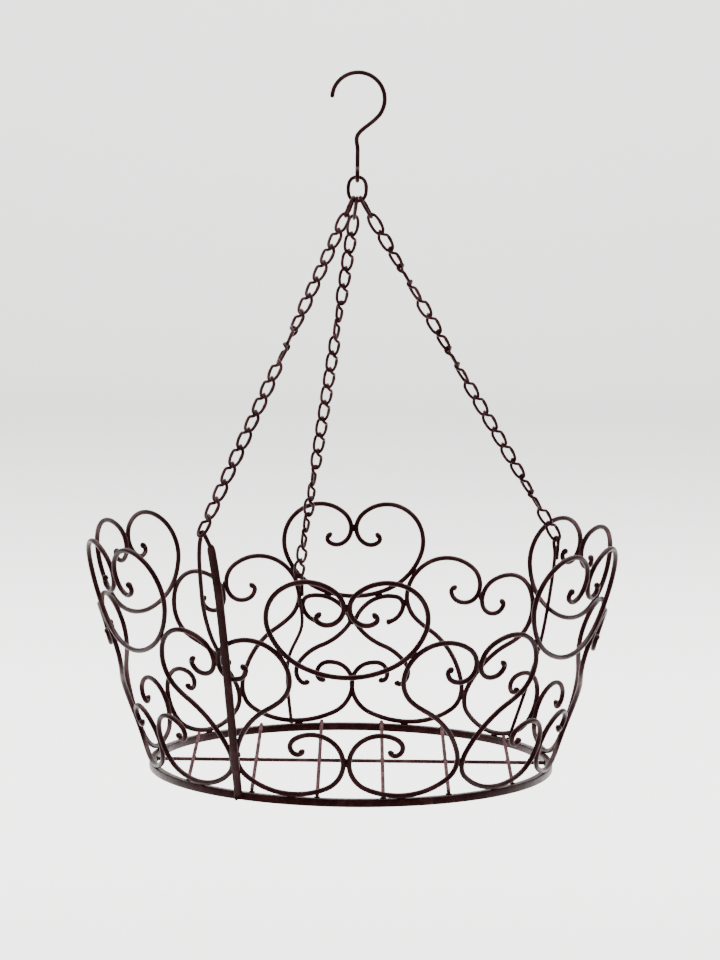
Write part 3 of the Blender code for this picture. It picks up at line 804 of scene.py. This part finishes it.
def dress_hanger(enamel):
    """Small oval ring of wire that gathers the chains."""
    path = []
    for k in range(RING_STEPS):
        out, rise = rounded(2.0 * math.pi * k / RING_STEPS, RING_ROUNDNESS)
        path.append(Vector((HANGER_HALF_WIDTH * out, 0.0,
                            HANGER_HEIGHT + HANGER_HALF_HEIGHT * rise)))
    ring = wire("oval_ring", [path], HANGER_WIRE + 2.0 * COAT, enamel,
                lambda k: 1.0 + RING_SWELL * swelling(k - RING_SWELL_AT,
                                                      RING_SWELL_STEPS),
                16, closed=True)
    dress(ring, "hanger_ring", "hook_wire", "hanger_ring")


def bend_point(radius, centre, angle):
    """A point of the hook's bends: (along the bend's plane, height)."""
    turn = math.radians(angle)
    return radius * math.cos(turn), centre + radius * math.sin(turn)


def dress_hook(enamel):
    """Eye round the ring from front to back, straight shank, and open crook."""
    centre = HANGER_HEIGHT + HANGER_HALF_HEIGHT - (HANGER_WIRE + HOOK_WIRE) / 2.0 \
        - SEAT + EYE_RADIUS
    knots = []
    for angle in EYE_ANGLES:
        depth, height = bend_point(EYE_RADIUS, centre, angle)
        knots.append(Vector((0.0, depth, height)))
    neck = centre + EYE_RADIUS
    knots.append(Vector((0.0, -HOOK_WIRE * NECK_FORWARD,
                         neck + HOOK_WIRE * NECK_RISE)))
    knots.append(Vector((0.0, 0.0, neck + HOOK_WIRE)))
    knots.append(Vector((0.0, 0.0, (neck + HOOK_WIRE + SHANK_TOP) / 2.0)))
    knots.append(Vector((0.0, 0.0, SHANK_TOP)))
    for angle in CROOK_ANGLES:
        across, height = bend_point(CROOK_RADIUS, SHANK_TOP + CROOK_RISE, angle)
        knots.append(Vector((across, 0.0, height)))
    hook = forged_rod("hook_wire", smooth_path(knots, HOOK_STEPS),
                      HOOK_WIRE + 2.0 * COAT, enamel, uneven=HOOK_UNEVEN)
    dress(hook, "hook", "hook_wire", "hook")


# Studio, in metres
FLOOR = -0.42
PAPER_FRONT = -9.0
PAPER_BACK = 6.8
PAPER_SWEEP = 1.2
PAPER_SWEEP_ANGLES = range(10, 91, 10)
PAPER_TOP = 5.0
CAMERA_PLACE = (4.7 * MM, -3000.0 * MM, 592.4 * MM)
CAMERA_DOWN = 6.93          # degrees below level
CAMERA_ROLL = 0.65          # degrees


def seamless_paper(finish):
    """Floor swept up into a backdrop, further off than any camera that looks round."""
    bm = bmesh.new()
    profile = [(PAPER_FRONT, 0.0), (PAPER_BACK, 0.0)]
    profile += [(PAPER_BACK + PAPER_SWEEP * math.sin(math.radians(a)),
                 PAPER_SWEEP - PAPER_SWEEP * math.cos(math.radians(a)))
                for a in PAPER_SWEEP_ANGLES]
    profile.append((PAPER_BACK + PAPER_SWEEP, PAPER_TOP))
    rows = [[bm.verts.new((x, y, z + FLOOR)) for y, z in profile]
            for x in (-PAPER_HALF_WIDTH, PAPER_HALF_WIDTH)]
    for k in range(len(profile) - 1):
        bm.faces.new((rows[0][k], rows[1][k], rows[1][k + 1], rows[0][k + 1]))
    paper = smooth_mesh("seamless_paper", bm, finish)


def soft_light(name, place, size, watts, aim=(0.0, 0.0, 0.22)):
    """Rectangular softbox, turned to what it lights."""
    data = bpy.data.lights.new(name, "AREA")
    data.shape = "RECTANGLE"
    data.size, data.size_y = size
    data.energy = watts
    lamp = bpy.data.objects.new(name, data)
    lamp.location = place
    lamp.rotation_euler = (Vector(aim) - Vector(place)).to_track_quat(
        "-Z", "Y").to_euler()
    bpy.context.collection.objects.link(lamp)


def studio():
    """Soft room light, pale paper, three softboxes on the basket and two on the paper."""
    world = bpy.data.worlds.new("soft_room")
    world.use_nodes = True
    room = world.node_tree.nodes["Background"]
    room.inputs["Color"].default_value = hex_colour("#f3f4f6")
    room.inputs["Strength"].default_value = 0.6
    bpy.context.scene.world = world
    seamless_paper(pale_paper("matt_seamless_paper", "#f6f5f3"))
    soft_light("key_softbox", (-1.7, -2.3, 1.9), (1.3, 1.3), 22.0)
    soft_light("fill_softbox", (2.2, -1.6, 1.0), (1.6, 1.6), 8.0)
    soft_light("top_softbox", (0.1, 0.5, 2.4), (1.8, 1.4), 75.0)
    for side, way in (("left", -1.0), ("right", 1.0)):
        soft_light("paper_light_" + side, (way * 2.2, 1.2, 2.8), (1.6, 1.6), 520.0,
                   aim=(way * 1.2, 6.0, 0.2))


def photographer():
    """Camera where the photograph was taken from, with its slight roll."""
    data = bpy.data.cameras.new("photo_camera")
    data.sensor_fit = "HORIZONTAL"
    data.sensor_width = 36.0
    data.lens = 193.1
    data.clip_end = 50.0
    camera = bpy.data.objects.new("photo_camera", data)
    camera.location = CAMERA_PLACE
    level = Euler((math.radians(90.0 - CAMERA_DOWN), 0.0, 0.0)).to_matrix()
    roll = Matrix.Rotation(math.radians(CAMERA_ROLL), 3, "Z")
    camera.rotation_euler = (level @ roll).to_euler()
    bpy.context.collection.objects.link(camera)
    bpy.context.scene.camera = camera


def main():
    photographer()
    # Nearly black brown, half glossy, on rod and bar
    rod_enamel = brown_enamel("brown_enamel_on_bent_rod", "#100405", "#1f0b0d",
                              "#391f21", 0.40, 0.25 * MM)
    # Darker, more matt and more lumpy over the welds
    weld_enamel = brown_enamel("brown_enamel_over_weld", "#0e0304", "#1a080a",
                               "#2e181b", 0.50, 0.45 * MM)
    # Paler and pinker on the base rods, a painted reflection of the bright backdrop; quite matt
    grid_enamel = brown_enamel("brown_enamel_with_painted_reflection_on_base_rods", "#241012", "#3d2225",
                               "#5f3f42", 0.75, 0.20 * MM, reflects=0.1)
    # A paler, warmer brown with a smoother skin, on drawn wire
    chain_enamel = brown_enamel("brown_enamel_on_chain_wire", "#180809", "#2c1417",
                                "#4c2c2f", 0.38, 0.10 * MM)
    hook_enamel = brown_enamel("brown_enamel_on_hook_wire", "#160708", "#281215",
                               "#45282b", 0.38, 0.10 * MM)
    for index, panel in enumerate(PANELS):
        dress_panel(panel, PANEL_SEEDS * index, rod_enamel, weld_enamel)
    dress_base(rod_enamel, grid_enamel, weld_enamel)
    dress_strap(rod_enamel, weld_enamel)
    for side in POSTS:
        dress_post(side, rod_enamel, weld_enamel)
    # The left chain ends at the peak of the strap's loop
    peak = min(LEFT_LOOP_SHAPE, key=lambda pair: pair[1])
    dress_chain("left", left_loop_point(*peak)[0],
                math.hypot(TAIL_WIDTH, STRAP_THICKNESS) / 2.0, chain_enamel)
    for side, post in POSTS.items():
        loop_at = on_wall(post["azimuths"][-1], 0.0, post["loop"],
                          POST_OUT - POST_LOOP_LEAN)[0]
        dress_chain(side, loop_at, POST_WIRE / 2.0, chain_enamel)
    dress_hanger(hook_enamel)
    dress_hook(hook_enamel)
    studio()


main()
